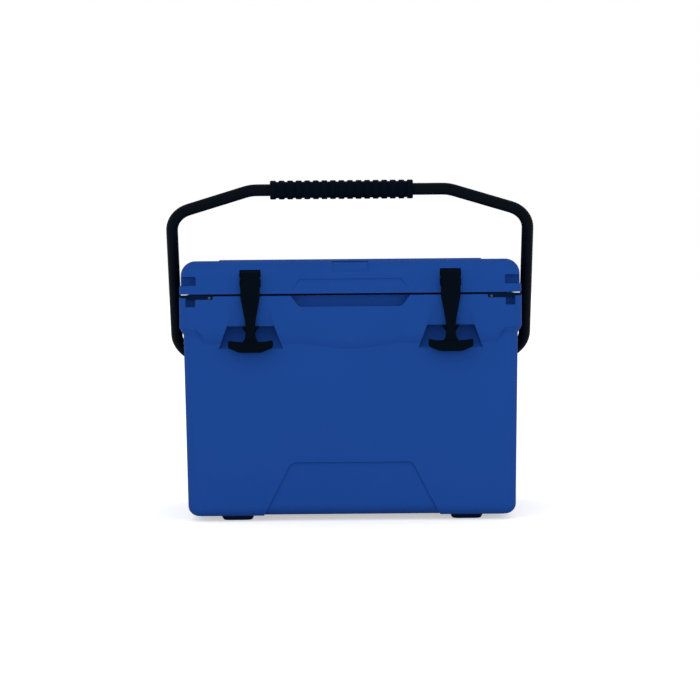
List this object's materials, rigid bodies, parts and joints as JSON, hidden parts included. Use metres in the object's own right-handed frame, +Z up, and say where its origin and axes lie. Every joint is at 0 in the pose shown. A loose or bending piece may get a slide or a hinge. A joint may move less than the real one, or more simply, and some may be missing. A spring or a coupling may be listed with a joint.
{
  "type": "vaccine carrier",
  "caption": "Hard-sided insulated carrier box with a hinged lid, rubber T-latches, locking corners and a tubular bail handle with a ribbed grip.",
  "frame": {"origin": "on the floor under the middle of the box", "axes": "+Z up, -Y the front with the latches, +X to the right seen from the front"},
  "size_m": [0.5382, 0.3316, 0.4914],
  "materials": {
    "blue_shell": "fine moulded texture, matt",
    "white_liner": "smooth moulded, matt",
    "foam": "foamed polyurethane, cut face",
    "black_rubber": "moulded, satin",
    "grey_seal": "soft extruded seal",
    "foot_rubber": "moulded, matt",
    "black_tube": "satin black powder coat",
    "lock_steel": "dark painted steel",
    "bright_steel": "plain stainless",
    "black_nylon": "moulded nylon"
  },
  "bodies": {
    "tub": {"tub_shell": "blue_shell", "tub_foam": "foam", "tub_liner": "white_liner", "hinge_rod": "bright_steel", "hinge_rod_caps": "black_nylon", "left_lock_plate": "lock_steel", "right_lock_plate": "lock_steel", "lock_plate_screws": "bright_steel", "left_handle_bush": "black_nylon", "right_handle_bush": "black_nylon", "front_left_foot": "foot_rubber", "front_right_foot": "foot_rubber", "back_left_foot": "foot_rubber", "back_right_foot": "foot_rubber", "foot_screws": "bright_steel", "drain_bush": "black_nylon"},
    "lid": {"lid_shell": "blue_shell", "lid_foam": "foam", "lid_liner": "white_liner", "lid_gasket": "grey_seal", "left_latch_pin": "bright_steel", "right_latch_pin": "bright_steel"},
    "left_latch": {"left_latch": "black_rubber"},
    "right_latch": {"right_latch": "black_rubber"},
    "handle": {"handle_tube": "black_tube", "handle_grip": "black_rubber"},
    "drain_bung": {"drain_bung": "black_rubber"}
  },
  "joints": [
    {"name": "lid_hinge", "type": "hinge", "parent": "tub", "child": "lid", "pos_m": [0, 0.153, 0.32835], "axis": [-1, 0, 0], "range_deg": [0, 100], "deforming": ["left_latch", "right_latch"]},
    {"name": "handle_swing", "type": "hinge", "parent": "tub", "child": "handle", "pos_m": [0, 0, 0.232], "axis": [1, 0, 0], "range_deg": [-131, 69]},
    {"name": "left_latch_hinge", "type": "hinge", "parent": "lid", "child": "left_latch", "pos_m": [-0.1437, -0.146, 0.352], "axis": [-1, 0, 0], "range_deg": [0, 90]},
    {"name": "right_latch_hinge", "type": "hinge", "parent": "lid", "child": "right_latch", "pos_m": [0.1437, -0.146, 0.352], "axis": [-1, 0, 0], "range_deg": [0, 90]},
    {"name": "drain_bung_pull", "type": "slide", "parent": "tub", "child": "drain_bung", "axis": [1, 0, 0], "range_m": [0, 0.03]}
  ]
}
